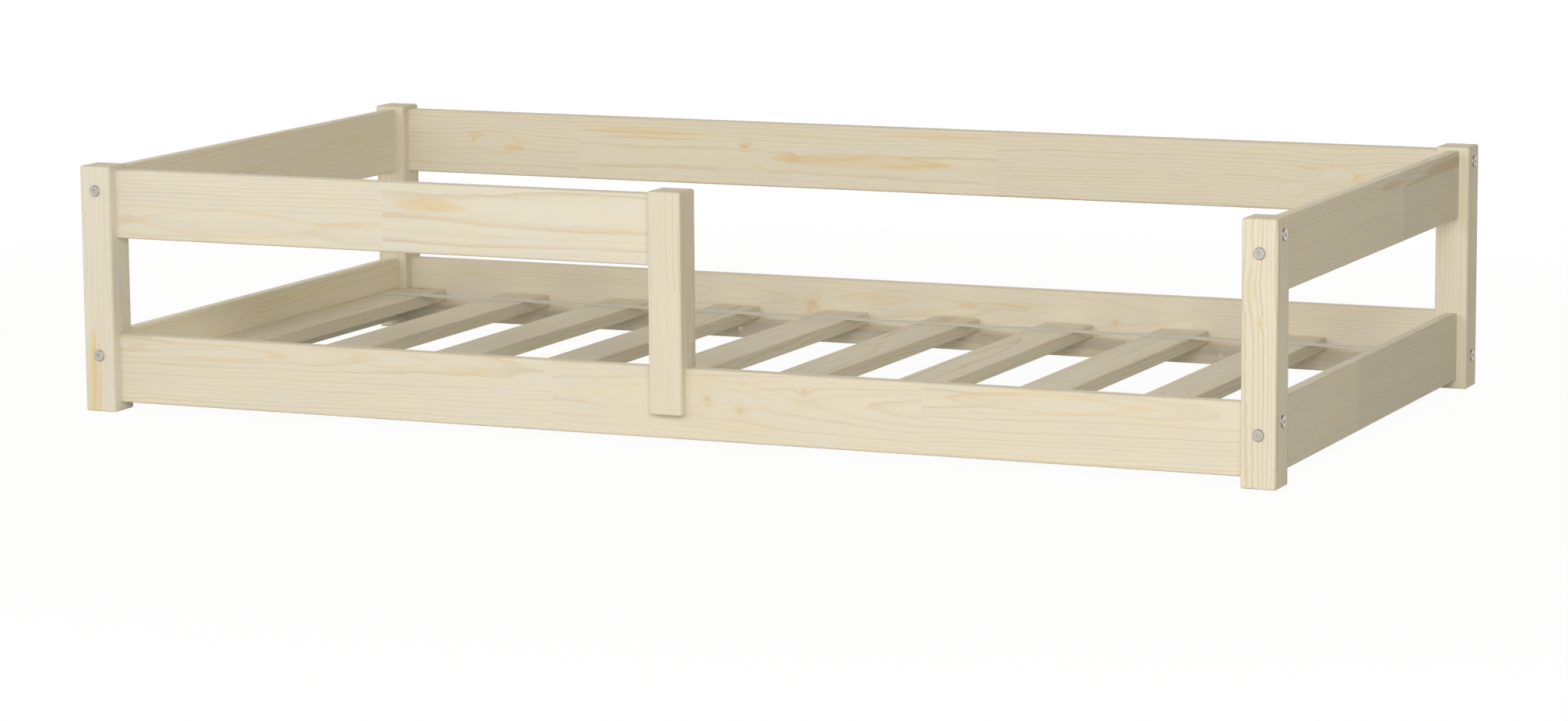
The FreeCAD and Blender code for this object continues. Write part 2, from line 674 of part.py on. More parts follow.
long_bolt = connector_bolt("long_bolt", "postSection + boltReach")
short_bolt = connector_bolt("short_bolt", "postSection - blankingBoltInset")
insert = sleeve("insert", "insertLength", "insertDiameter / 2", "boltDiameter / 2 + threadClearance")
dowel = turned(
    "dowel",
    [V(0, -18, 0), V(4, -18, 0), V(4, 18, 0), V(0, 18, 0)],
    [(None, "-dowelLength / 2"), ("dowelDiameter / 2", "-dowelLength / 2"),
     ("dowelDiameter / 2", "dowelLength / 2"), (None, "dowelLength / 2")],
)

for corner, (side, depth) in CORNERS.items():
    axis_x = f"{side} * (bedLength - postSection) / 2"
    axis_y = f"{depth} * (bedWidth - postSection) / 2"
    faces = {
        "across": (V(0, depth, 0), axis_x, f"{depth} * bedWidth / 2", axis_x,
                   f"{depth} * (bedWidth / 2 - postSection)"),
        "along": (V(side, 0, 0), f"{side} * bedLength / 2", axis_y,
                  f"{side} * (bedLength / 2 - postSection)", axis_y),
    }
    bolts = []
    inserts = []
    dowels = []
    for way, tier in joints_at(corner):
        outward, bolt_x, bolt_y, seat_x, seat_y = faces[way]
        turn = facing(outward)
        height = f"{RAIL_MIDDLE[tier]} + {bolt_rise(way, corner, tier)}"
        bolts.append((long_bolt, turn, bolt_x, bolt_y, height))
        inserts.append((insert, turn, seat_x, seat_y, height))
        dowels.append((dowel, turn, seat_x, seat_y, f"{RAIL_MIDDLE[tier]} + {dowel_rise(way, corner, tier)}"))
    if corner == "front_right":
        # The unused upper bore is closed by a short bolt in an insert set into the post's inner face.
        outward, bolt_x, bolt_y, seat_x, seat_y = faces["along"]
        height = f"{RAIL_MIDDLE['upper']} + alongRiseUpper"
        group("blanking_bolt", [(short_bolt, facing(outward), bolt_x, bolt_y, height)])
        inserts.append((insert, facing(-outward), seat_x, seat_y, height))
    group(f"{corner}_connector_bolts", bolts)
    group(f"{corner}_insert_nuts", inserts)
    group(f"{corner}_dowels", dowels)

GUARD_JOINT_X = f"({GUARD_POST_X} - postSection / 2)"
group("guard_rail_dowels", [
    (dowel, facing(X_AXIS), GUARD_JOINT_X, "-(bedWidth - postSection) / 2", height)
    for height in guard_dowels
])

# ---------------------------------------------------------------- wood screws


def wood_screw(name, grip):
    """A countersunk screw, its flat head at z = 0 and its shank through grip and on by its reach."""
    radius = "screwDiameter / 2"
    head = "screwHeadDiameter / 2"
    tip = f"-({grip} + screwReach)"
    return turned(
        name,
        [V(0, -30, 0), V(2, -28, 0), V(2, -2, 0), V(4, 0, 0), V(0, 0, 0)],
        [(None, tip), (radius, f"{tip} + screwDiameter"), (radius, f"{radius} - {head}"),
         (head, None), (None, None)],
    )


ledger_screw = wood_screw("ledger_screw", "ledgerThickness")
slat_screw = wood_screw("slat_screw", "slatThickness")
guard_screw = wood_screw("guard_screw", SETBACK)

for name, depth in (("front", -1), ("back", 1)):
    group(f"{name}_ledger_screws", [
        (ledger_screw, facing(V(0, -depth, 0)), x, f"{depth} * ({INNER_HALF_WIDTH} - ledgerThickness)",
         f"{LEDGER_BOTTOM} + ledgerHeight / 2")
        for x in ledger_screw_places()
    ])
group("end_slat_screws", [
    (slat_screw, None, slat_x(number), f"{depth} * {LEDGER_Y}", SLAT_TOP)
    for depth in (-1, 1)
    for number in (0, LAST_SLAT)
])
group("guard_post_screws", [
    (guard_screw, facing(Y_AXIS), GUARD_POST_X, "postSection - bedWidth / 2", height)
    for height in GUARD_SCREW_HEIGHTS
])

# ---------------------------------------------------------------- checks and export

doc.recompute()
failed = [item.Name for item in doc.Objects if "Invalid" in item.State or "Error" in item.State]
if failed:
    raise RuntimeError(f"these did not compute: {failed}")
for base, cut in cuts:
    if base.Shape.Volume - cut.Shape.Volume < LEAST_CUT:
        raise RuntimeError(f"{cut.Label} removes nothing")
for item in subparts:
    if item.Shape.isNull() or not item.Shape.isValid():
        raise RuntimeError(f"{item.Label} has no valid shape")

os.makedirs("parts", exist_ok=True)
for item in subparts:
    item.Shape.exportStep(f"parts/{item.Label}.step")
    box = item.Shape.BoundBox
    print(f"{item.Label:28s} {len(item.Shape.Solids):3d} solids "
          f"{box.XLength:8.1f} x {box.YLength:7.1f} x {box.ZLength:6.1f} mm")
print(len(subparts), "sub-parts")
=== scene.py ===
import math

import bpy
import numpy as np
from mathutils import Matrix, Vector


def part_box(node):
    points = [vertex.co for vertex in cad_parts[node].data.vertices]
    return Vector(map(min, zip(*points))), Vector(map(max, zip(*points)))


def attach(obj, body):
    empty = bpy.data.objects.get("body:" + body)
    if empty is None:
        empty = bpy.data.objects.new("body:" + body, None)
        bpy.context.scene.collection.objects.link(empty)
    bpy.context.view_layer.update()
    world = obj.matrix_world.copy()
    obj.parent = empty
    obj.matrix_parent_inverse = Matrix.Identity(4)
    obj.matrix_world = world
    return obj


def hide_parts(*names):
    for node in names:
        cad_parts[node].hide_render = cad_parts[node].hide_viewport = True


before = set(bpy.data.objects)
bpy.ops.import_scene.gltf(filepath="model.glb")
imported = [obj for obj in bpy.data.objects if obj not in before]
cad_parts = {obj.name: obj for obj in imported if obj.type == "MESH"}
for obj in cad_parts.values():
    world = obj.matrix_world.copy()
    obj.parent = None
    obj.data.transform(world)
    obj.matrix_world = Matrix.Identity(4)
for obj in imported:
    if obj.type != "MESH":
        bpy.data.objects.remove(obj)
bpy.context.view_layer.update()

# ---------------------------------------------------------------- floor, backdrop and light
# A white studio sweep: a matt floor that takes the bed's soft shadow, a white surround, and six
# large soft lamps: two in front, a weak one nearer on the right, a warm one at the left end, and
# two behind, one high and one low.


class Wire:
    """One output of a node. Arithmetic on it adds Math nodes, or Vector Math nodes for a vector."""

    def __init__(self, tree, socket):
        self.tree = tree
        self.socket = socket

    def node(self, kind, settings=None, inputs=None, output=0):
        """Adds a node of any kind: first its settings, then its inputs, each a value or a Wire."""
        made = self.tree.nodes.new(kind)
        for name, value in (settings or {}).items():
            setattr(made, name, value)
        for name, value in (inputs or {}).items():
            if isinstance(value, Wire):
                self.tree.links.new(value.socket, made.inputs[name])
            else:
                made.inputs[name].default_value = value
        return Wire(self.tree, made.outputs[output])

    def sibling(self, output):
        """Another output of the same node."""
        return Wire(self.tree, self.socket.node.outputs[output])

    def __add__(self, other):
        return work("ADD", self, other)

    def __radd__(self, other):
        return work("ADD", other, self)

    def __sub__(self, other):
        return work("SUBTRACT", self, other)

    def __rsub__(self, other):
        return work("SUBTRACT", other, self)

    def __mul__(self, other):
        return work("MULTIPLY", self, other)

    def __rmul__(self, other):
        return work("MULTIPLY", other, self)

    def __truediv__(self, other):
        return work("DIVIDE", self, other)


def work(operation, *terms):
    """A Math node on the terms, or a Vector Math node where one of them is a vector."""
    wire = next(term for term in terms if isinstance(term, Wire))
    vector = any(
        isinstance(term, tuple) or isinstance(term, Wire) and term.socket.type == "VECTOR"
        for term in terms
    )
    kind = "ShaderNodeVectorMath" if vector else "ShaderNodeMath"
    return wire.node(kind, {"operation": operation}, dict(enumerate(terms)))


def length(vector):
    """The length of a vector wire, as a plain number."""
    return vector.node("ShaderNodeVectorMath", {"operation": "LENGTH"}, {0: vector}, "Value")


def ramp(wire, low, high, start=0.0, end=1.0):
    """A smooth step of the wire: start up to low, end from high on."""
    limits = {"From Min": low, "From Max": high, "To Min": start, "To Max": end}
    return wire.node("ShaderNodeMapRange", {"interpolation_type": "SMOOTHSTEP"},
                     {"Value": wire, **limits})


def sheet_of(name, points, faces):
    """A new mesh object at the origin, in the scene, from an array of points and its faces."""
    mesh = bpy.data.meshes.new(name)
    mesh.from_pydata(points.tolist(), [], faces)
    mesh.update()
    made = bpy.data.objects.new(name, mesh)
    bpy.context.scene.collection.objects.link(made)
    return made


def finish_named(name):
    """A new material and its node tree, empty but for the output node."""
    material = bpy.data.materials.new(name)
    material.use_nodes = True
    tree = material.node_tree
    tree.nodes.clear()
    output = tree.nodes.new("ShaderNodeOutputMaterial")
    return material, Wire(tree, output.inputs["Surface"])


def seen_directly(start):
    """1 for rays from the camera or off a mirror or glass, and 0 for those that carry light."""
    path = start.node("ShaderNodeLightPath", output="Is Camera Ray")
    rays = path + path.sibling("Is Glossy Ray") + path.sibling("Is Transmission Ray")
    return rays.node("ShaderNodeMath", {"operation": "MINIMUM"}, {0: rays, 1: 1.0})


FLOOR_REACH = 40.0
FLOOR_DROP = 0.0003
FLOOR_WHITE = (0.86, 0.86, 0.86, 1.0)
FLOOR_GLOW = 0.96
SHADOW_REACH = (1.3, 1.0, 1.0)
SHADOW_FADE = (1.0, 2.2)
WHITE = (1.0, 1.0, 1.0, 1.0)

corner = FLOOR_REACH * np.array([[-1, -1, 0], [1, -1, 0], [1, 1, 0], [-1, 1, 0]], float)
floor = sheet_of("studio_floor", corner - [0, 0, FLOOR_DROP], [(0, 1, 2, 3)])
floor_finish, surface = finish_named("studio_floor_white")
matt = surface.node("ShaderNodeBsdfDiffuse", inputs={"Color": FLOOR_WHITE})
glow = surface.node("ShaderNodeEmission", inputs={"Strength": 1.0})
place = surface.node("ShaderNodeTexCoord", output="Object")
away = length(place * tuple(1 / reach for reach in SHADOW_REACH))
share = seen_directly(surface) * ramp(away, *SHADOW_FADE, FLOOR_GLOW, 1.0)
mixed = surface.node("ShaderNodeMixShader", inputs={0: share, 1: matt, 2: glow})
floor_finish.node_tree.links.new(mixed.socket, surface.socket)
floor.data.materials.append(floor_finish)

AMBIENT = (0.252, 0.226, 0.144, 1.0)
world = bpy.data.worlds.new("studio_surround")
world.use_nodes = True
bpy.context.scene.world = world
world.node_tree.nodes.clear()
world_output = world.node_tree.nodes.new("ShaderNodeOutputWorld")
surround = Wire(world.node_tree, world_output.inputs["Surface"])
tint = surround.node("ShaderNodeMix", {"data_type": "RGBA"},
                     {0: seen_directly(surround), 6: AMBIENT, 7: WHITE}, 2)
light = surround.node("ShaderNodeBackground", inputs={"Color": tint, "Strength": 1.0})
world.node_tree.links.new(light.socket, surround.socket)

# Each lamp: its place, the point it faces, its width, its power in watts and its colour.
LAMPS = {
    "front_left": ((-2.6, -5.4, 3.0), (0.0, 0.0, 0.1), 3.2, 77.0, (0.99, 0.99, 1.0)),
    "front_right": ((1.6, -4.4, 1.8), (0.0, 0.0, 0.1), 2.0, 72.0, (1.0, 0.96, 0.88)),
    "near_right": ((2.4, -3.8, 1.6), (0.0, 0.0, 0.1), 1.6, 31.0, (1.0, 0.95, 0.84)),
    "left": ((-5.0, -1.5, 2.0), (0.0, 0.0, 0.0), 2.6, 60.0, (1.0, 0.91, 0.78)),
    "back": ((0.3, 4.4, 3.2), (0.0, 0.0, 0.1), 2.6, 14.0, (1.0, 0.94, 0.80)),
    "low_back": ((-1.2, 5.4, 1.2), (0.0, 0.0, 0.1), 2.6, 84.0, (1.0, 0.97, 0.90)),
}
for name, (place, aim, width, power, colour) in LAMPS.items():
    lamp = bpy.data.lights.new(f"{name}_lamp", "AREA")
    lamp.shape = "SQUARE"
    lamp.size = width
    lamp.energy = power
    lamp.color = colour
    holder = bpy.data.objects.new(f"{name}_lamp", lamp)
    turn = (Vector(aim) - Vector(place)).to_track_quat("-Z", "Y").to_matrix().to_4x4()
    holder.matrix_world = Matrix.Translation(place) @ turn
    bpy.context.scene.collection.objects.link(holder)

# Seen at a glancing angle, the low lamp would put a sheen on every top.
bpy.data.objects["low_back_lamp"].visible_glossy = False

bpy.context.scene.view_settings.view_transform = "Standard"

# ---------------------------------------------------------------- camera
# A long lens in front of the bed, to its right and a little above it, unshifted and all in focus.
# Its place and its three angles, in degrees, were fitted to the bed's edges in the photograph.

CAMERA_PLACE = (2.6566, -6.0536, 1.0717)
CAMERA_YAW, CAMERA_PITCH, CAMERA_ROLL = 23.733, 8.781, -0.445
LENS = 113.68
SENSOR = 36.0
SIGHT = 200.0

lens = bpy.data.cameras.new("photograph_view")
lens.sensor_width = SENSOR
lens.lens = LENS
lens.clip_end = SIGHT
camera = bpy.data.objects.new("photograph_view", lens)
camera.matrix_world = (
    Matrix.Translation(CAMERA_PLACE)
    @ Matrix.Rotation(math.radians(CAMERA_YAW), 4, "Z")
    @ Matrix.Rotation(math.radians(90 - CAMERA_PITCH), 4, "X")
    @ Matrix.Rotation(math.radians(CAMERA_ROLL), 4, "Z")
)
bpy.context.scene.collection.objects.link(camera)
bpy.context.scene.camera = camera

# ---------------------------------------------------------------- posts
# Four corner posts and the guard post: 46 mm squares of planed pine, left bare, with every edge
# rounded to 3 mm. They are bored for the bolts, and the guard post is slotted over the lower rail.

EARLY_WOOD = (0.774, 0.734, 0.643, 1.0)
LATE_WOOD = (0.610, 0.472, 0.296, 1.0)
AMBER = (0.755, 0.575, 0.302, 1.0)
END_GRAIN = (0.640, 0.545, 0.385, 1.0)
KNOT_WOOD = (0.520, 0.300, 0.150, 1.0)

# Patterns drawn out along the grain: length and width in millimetres, and place in the noise.
STRAY_ACROSS = (420, 90, 3.0)
STRAY_DEEP = (380, 80, 9.0)
PATCHES = (170, 9, 41.0)
WHORL_WAVER = (10, 10, 23.0)
FIBRES = (60, 0.8, 5.0)
RESIN_DUCTS = (10, 0.6, 13.0)
CLOUDS = (300, 40, 37.0)
BLUSHES = (90, 22, 31.0)

# How far the heart line strays, and each bend of the rings: its pattern and how far it moves
# them, all in millimetres.
HEART_STRAY = 12.0
RING_BENDS = (((60, 10, 17.0), 2.0), ((150, 24, 19.0), 6.0), ((24, 7, 27.0), 2.0))

# How fast and how much the rings' widths change, where in a ring the late wood starts and stops,
# and how strong its faintest line is.
WIDTH_CHANGE, WIDTH_SPREAD = 0.6, 0.6
LATE_START, LATE_STOP = 0.25, 0.92
FAINTEST_LINE = 0.3

# Between two levels of the patches, late wood and amber go from a share of themselves to all.
LATE_FADE = (-0.35, 0.3, 0.45, 1.0)
AMBER_FADE = (-0.2, 0.25, 0.3, 1.0)

# Lenses: how blunt the ridge is, what brings the middle to 1, and how the sides waver: length and
# width in millimetres, and how much.
LENS_BLUNTNESS = 0.04
LENS_PEAK = 1.22
LENS_WAVER = (40, 8)
LENS_UNEVENNESS = 0.45

# Levels of a lens between which a rim comes and goes, the late wood thins out inside it, and a
# flame comes.
RIM_COMES = (0.315, 0.335)
RIM_GOES = (0.345, 0.56, 1.0, 0.0)
RIM_INSIDE = (0.30, 0.40, 1.0, 0.35)
FLAME_COMES = (0.30, 0.62)

# Knots: how much the distance along the board counts; the hill in the rings and its fall; between
# which shares of the radius the dark core and the amber halo end; and, in millimetres, how far
# the whorls stray and how wide they are.
KNOT_SQUEEZE = 0.8
KNOT_HILL, KNOT_FALL = 1.3, 0.4
KNOT_CORE = (0.3, 1.2)
KNOT_HALO = (0.8, 2.6)
WHORL_STRAY, WHORL_WIDTH = 4.0, 1.2

# Finger joints: half a finger's width in millimetres, how far it reaches for each of them, and a
# whole number of fingers to count from.
HALF_FINGER, FINGER_SLOPE = 2.0, 4.0
FINGER_START = 100.0

# How far from an end or an arris its darker wood starts, and where it is full, in millimetres.
END_REACH = (2.6, 0.2)
ARRIS_REACH = (3.4, 0.9)

# Millimetres in a metre, and how far one seed sets the patterns apart from the next.
PER_METRE = 1000.0
SEED_SPREAD = 1.7


def noise(vector, detail=1.0):
    """Smooth noise of a vector wire, centred on 0 and mostly within half a unit of it."""
    settings = {"Vector": vector, "Scale": 1.0, "Detail": detail}
    return vector.node("ShaderNodeTexNoise", inputs=settings) - 0.5


def vector_of(x, y, z):
    """A vector wire from three numbers, of which the first is a wire."""
    return x.node("ShaderNodeCombineXYZ", inputs={0: x, 1: y, 2: z})


def blend(mask, first, second, kind="MIX"):
    """A Mix node on two colours; a mask of 1 gives the second one."""
    wire = next(item for item in (mask, first, second) if isinstance(item, Wire))
    settings = {"data_type": "RGBA", "blend_type": kind, "clamp_result": False}
    return wire.node("ShaderNodeMix", settings, {0: mask, 6: first, 7: second}, 2)


def lens_shape(u, v):
    """1 at the middle, falling off as exp(-(u^2 + |v|)), so that its contours are lenses."""
    ridge = work("SQRT", v * v + LENS_BLUNTNESS)
    return work("EXPONENT", (u * u + ridge) * -1.0) * LENS_PEAK


def pine(node, axes, pieces, joints=(), eyes=(), rims=(), flames=(), knots=(),
         depth=0.6, white=0.0, seed=0.0):
    """Gives a CAD board its planed pine, worked out in millimetres from the board's middle.

    axes names the directions along the grain, across the wide face and through the thickness. The
    board is one or more pieces, finger-jointed end to end at the joints. For each piece: where the
    heart of the log is, across and deep; its slope across and deep per millimetre along; the width
    of a ring; and the piece's tone. The rings are distances from the heart line plus a slow wander,
    a hill at each knot and a lens at each eye. In each ring the tone climbs to a thin line of late
    wood and drops at once. An eye, rim or flame is (along, across, half length, half width,
    strength) and lies in one piece only: an eye bends the rings, by its strength in millimetres, a
    rim is the outline of a lens that is pale inside, and a flame is a lens filled with amber, or
    with its own colour. A knot is (along, across, radius). depth is how strongly the late wood
    shows, and white takes yellow out of the wood.
    """
    low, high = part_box(node)
    middle = (low + high) / 2
    size = {axis: (high - low)[index] * PER_METRE for index, axis in enumerate("xyz")}
    half = {name: size[axis] / 2 for name, axis in zip(("along", "across", "deep"), axes)}
    material, surface = finish_named(f"{node}_pine")
    place = surface.node("ShaderNodeTexCoord", output="Object")
    local = (place - tuple(middle)) * ((PER_METRE,) * 3)
    split = local.node("ShaderNodeSeparateXYZ", inputs={0: local})
    along, across, deep = (split.sibling(axis.upper()) for axis in axes)

    def grain(long, wide, shift, detail=1.0):
        """Noise drawn out along the grain: its length, its width and its place in the noise."""
        given = dict(zip(axes, (1 / long, 1 / wide, 1 / wide)))
        scale = tuple(given[axis] for axis in "xyz")
        return noise(local * scale + (seed + shift, seed * SEED_SPREAD, shift), detail)

    # Finger joints show as a straight line on the wide faces and as a zigzag on the edges.
    finger = work("PINGPONG", deep + FINGER_START, HALF_FINGER) * FINGER_SLOPE
    steps = [work("GREATER_THAN", along + finger, float(joint)) for joint in joints]

    def by_piece(values):
        """The value of the piece that a point lies in."""
        total = values[0]
        for step, before, after in zip(steps, values, values[1:]):
            if after != before:
                total = step * (after - before) + total
        return total

    def in_piece(a, value):
        """The value inside the piece that holds the point a along the board, and 0 elsewhere."""
        index = sum(a > joint for joint in joints)
        if index > 0:
            value = value * steps[index - 1]
        return value * (1 - steps[index]) if index < len(steps) else value

    here = [by_piece(values) for values in zip(*pieces)]
    heart_across, heart_deep, slope, drift, ring, tone = here
    off_across = across - heart_across - along * slope + grain(*STRAY_ACROSS) * HEART_STRAY
    off_deep = deep - heart_deep - along * drift + grain(*STRAY_DEEP) * HEART_STRAY
    radius = length(vector_of(off_across, off_deep, 0.0))
    for bend, height in RING_BENDS:
        radius = radius + grain(*bend) * height
    for a, b, half_length, half_width, height in eyes:
        lens = lens_shape((along - a) * (1 / half_length), (across - b) * (1 / half_width))
        radius = radius + in_piece(a, lens) * height
    cores = []
    for a, b, reach in knots:
        away = length(vector_of((along - a) * KNOT_SQUEEZE, across - b, 0.0))
        hill = work("EXPONENT", away * away * (-KNOT_FALL / reach ** 2)) * reach * KNOT_HILL
        radius = radius + hill
        cores.append((away, reach))
    rings = radius / ring
    rings = rings + noise(vector_of(rings * WIDTH_CHANGE + seed, 0.0, 0.0)) * WIDTH_SPREAD
    phase = work("FRACT", rings)
    number = work("FLOOR", rings) + seed
    chance = number.node("ShaderNodeTexWhiteNoise", {"noise_dimensions": "1D"}, {"W": number})
    showing = chance * (1 - FAINTEST_LINE) + FAINTEST_LINE
    climb = ramp(phase, LATE_START, LATE_STOP)
    line = climb * climb * ramp(phase, LATE_STOP, 1.0, 1.0, 0.0) * showing
    patch = grain(*PATCHES)
    late = line * ramp(patch, *LATE_FADE)

    def lens_at(a, b, half_length, half_width):
        """A lens on the board with uneven sides, in its own piece only."""
        wavy = (across - b) * (1 / half_width) + grain(*LENS_WAVER, a) * LENS_UNEVENNESS
        return in_piece(a, lens_shape((along - a) * (1 / half_length), wavy))

    outlines = []
    for *at, strength in rims:
        lens = lens_at(*at)
        fade = ramp(lens, *RIM_GOES)
        outlines.append(ramp(lens, *RIM_COMES) * fade * fade * strength)
        late = late * ramp(lens, *RIM_INSIDE)
    wood = blend(late * depth, EARLY_WOOD, LATE_WOOD)
    for outline in outlines:
        wood = blend(outline * ramp(patch, *AMBER_FADE), wood, AMBER)
    for a, b, half_length, half_width, strength, *colour in flames:
        flame = ramp(lens_at(a, b, half_length, half_width), *FLAME_COMES)
        wood = blend(flame * (climb * 0.5 + 0.5) * strength, wood, colour[0] if colour else AMBER)
    for away, reach in cores:
        whorl = work("PINGPONG", away + grain(*WHORL_WAVER) * WHORL_STRAY, WHORL_WIDTH) * 0.8
        core = ramp(away, reach * KNOT_CORE[0], reach * KNOT_CORE[1], 1.0, 0.0)
        halo = ramp(away, reach * KNOT_HALO[0], reach * KNOT_HALO[1], 0.30, 0.0)
        wood = blend(core * (whorl * 0.42 + 0.06), wood, KNOT_WOOD)
        wood = blend(halo * (patch + 0.8), wood, AMBER)
    fibre = grain(*FIBRES, detail=2.0)
    ducts = ramp(grain(*RESIN_DUCTS), 0.22, 0.30)
    blush = grain(*BLUSHES)
    shade = fibre * 0.09 + grain(*CLOUDS) * 0.06 - ducts * 0.05 + tone
    tints = (shade + blush * 0.06, shade + white * 0.4, shade - blush * 0.15 + white)
    wood = blend(1.0, wood, vector_of(*tints), "MULTIPLY")

    def near_edge(way, name, reach):
        """0 inside the board, and 1 at its edge in one direction."""
        return ramp(work("ABSOLUTE", way), half[name] - reach[0], half[name] - reach[1])

    end = near_edge(along, "along", END_REACH)
    wood = blend(end * 0.32, wood, END_GRAIN)
    arris = near_edge(across, "across", ARRIS_REACH) * near_edge(deep, "deep", ARRIS_REACH)
    wood = blend(arris * 0.22, wood, END_GRAIN)

    relief = late * 0.35 + fibre * 0.5 - ducts * 0.3
    bump = relief.node("ShaderNodeBump", inputs={
        "Strength": 0.25, "Distance": 0.0003, "Height": relief})
    shader = surface.node("ShaderNodeBsdfPrincipled", inputs={
        "Base Color": wood, "Roughness": late * 0.10 + 0.52,
        "Specular IOR Level": 0.35, "Normal": bump})
    material.node_tree.links.new(shader.socket, surface.socket)
    dress(node, material)


def dress(node, material):
    """Puts one material in every slot of a CAD node."""
    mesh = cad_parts[node].data
    mesh.materials.clear()
    mesh.materials.append(material)


UPRIGHT = "zxy"
pine("front_left_post", UPRIGHT, [(-30, 17, 0, 0, 5.0, 1.0), (-34, 20, 0.01, 0, 5.0, 1.0)],
     joints=[5], flames=[(-132, -9, 84, 12, 0.7), (-116, -7, 66, 4, 0.4)],
     depth=0.28, white=0.055, seed=1.0)
pine("front_right_post", UPRIGHT, [(-30, 2, 0, 0, 4.8, 1.0)], flames=[(79, -11, 24, 9, 0.35)],
     eyes=[(79, -11, 24, 10, 4)], knots=[(38, 2, 3.6)], depth=0.95, seed=2.0)
pine("rear_left_post", UPRIGHT, [(-50, 20, 0, 0, 5.0, 1.0)], seed=3.0)
pine("rear_right_post", UPRIGHT, [(-60, 10, 0.01, 0, 5.0, 1.06)], depth=0.4, seed=4.0)
pine("guard_post", UPRIGHT, [(-60, 4, 0.01, 0, 3.4, 0.99), (50, 8, -0.01, 0, 3.6, 0.98)],
     joints=[20], depth=0.6, seed=5.0)

# ---------------------------------------------------------------- long rails
# Planed pine boards, 92 by 18 mm, that run the length of the bed between the posts, and the
# half-length guard rail. Each is finger-jointed from shorter lengths, so its grain changes there.

LENGTHWISE = "xzy"
pine("front_lower_rail", LENGTHWISE,
     [(31, 28.1, 0, 0.02, 5.0, 1.0), (10, 27, 0, -0.04, 5.0, 0.99),
      (29, 4.1, 0, 0.02, 5.0, 0.98)], joints=[-140, 372],
     rims=[(-653, 30, 109, 8, 0.6), (-378, 33, 57, 8, 0.5), (40, 8, 160, 26, 0.25),
           (40, 8, 124, 17, 0.3), (40, 8, 86, 9, 0.25), (528, 29, 125, 10, 0.6),
           (528, 31, 96, 5, 0.4)],
     flames=[(-270, 26, 44, 8, 0.45), (-420, 33, 26, 6, 0.2), (-546, 30, 24, 5, 0.35),
             (654, 29, 24, 5, 0.4), (384, 31, 16, 5, 0.3), (140, -26, 60, 10, 0.15)],
     knots=[(74, 8, 5.5), (120, -4, 5.5), (208, 25, 4.4)], depth=0.5, seed=11.0)
pine("back_lower_rail", LENGTHWISE,
     [(-70, 20, 0, 0.01, 5.0, 1.04), (16, 26, 0, 0.03, 5.0, 1.04),
      (-70, 20, 0, 0.01, 5.0, 1.02)], joints=[-330, 440],
     rims=[(0, 18, 98, 12, 0.5), (-40, 20, 50, 6, 0.45), (-250, 20, 50, 9, 0.35)],
     flames=[(-24, 21, 44, 6, 0.3), (104, 18, 18, 4, 0.5), (196, 23, 60, 5, 0.4),
             (-690, 28, 30, 6, 0.2)], knots=[(-138, 9, 8.0), (324, 4, 4.4)],
     depth=0.4, seed=12.0)
pine("back_upper_rail", LENGTHWISE,
     [(-60, 20, 0, 0, 6.0, 1.02), (-12, 25, 0, 0, 5.5, 1.03), (70, 30, 0.01, 0, 5.0, 1.01)],
     joints=[-503, 150],
     rims=[(-643, 3, 38, 13, 0.65), (-250, -22, 34, 12, 0.3), (-222, -28, 18, 9, 0.3),
           (645, 3, 28, 12, 0.65), (585, -17, 23, 9, 0.6), (-60, -4, 112, 8.5, 0.5)],
     eyes=[(-643, 3, 60, 22, -7), (645, 3, 60, 26, -9), (586, -18, 24, 12, -5)],
     flames=[(-612, -5, 20, 6, 0.65), (-676, 12, 14, 6, 0.55), (606, 13, 20, 5, 0.5),
             (676, 0, 12, 8, 0.5), (-405, 26, 110, 4, 0.75), (-390, 18, 96, 2.5, 0.5),
             (-62, -4, 150, 11, 0.55), (46, -5, 34, 5, 0.5), (-240, 12, 14, 9, 0.5),
             (-176, -4, 26, 7, 0.5), (60, 34, 110, 3, 0.5), (70, 38, 90, 2, 0.4)],
     knots=[(-242, 11, 4.0)], depth=0.55, seed=13.0)
pine("front_guard_rail", LENGTHWISE,
     [(-22, 22.6, 0, -0.012, 4.6, 1.0), (15, 21.5, 0, 0, 9.4, 0.985)], joints=[12],
     rims=[(-222, -20, 138, 14.5, 0.5)],
     flames=[(70, 18, 54, 10, 0.65), (100, 15, 38, 5, 0.7), (-366, -21, 24, 4, 0.4),
             (-40, -14, 60, 3, 0.4)], depth=0.62, white=0.025, seed=14.0)

# ---------------------------------------------------------------- end rails
# Four boards of the same section across the ends of the bed, bolted and dowelled between the posts.

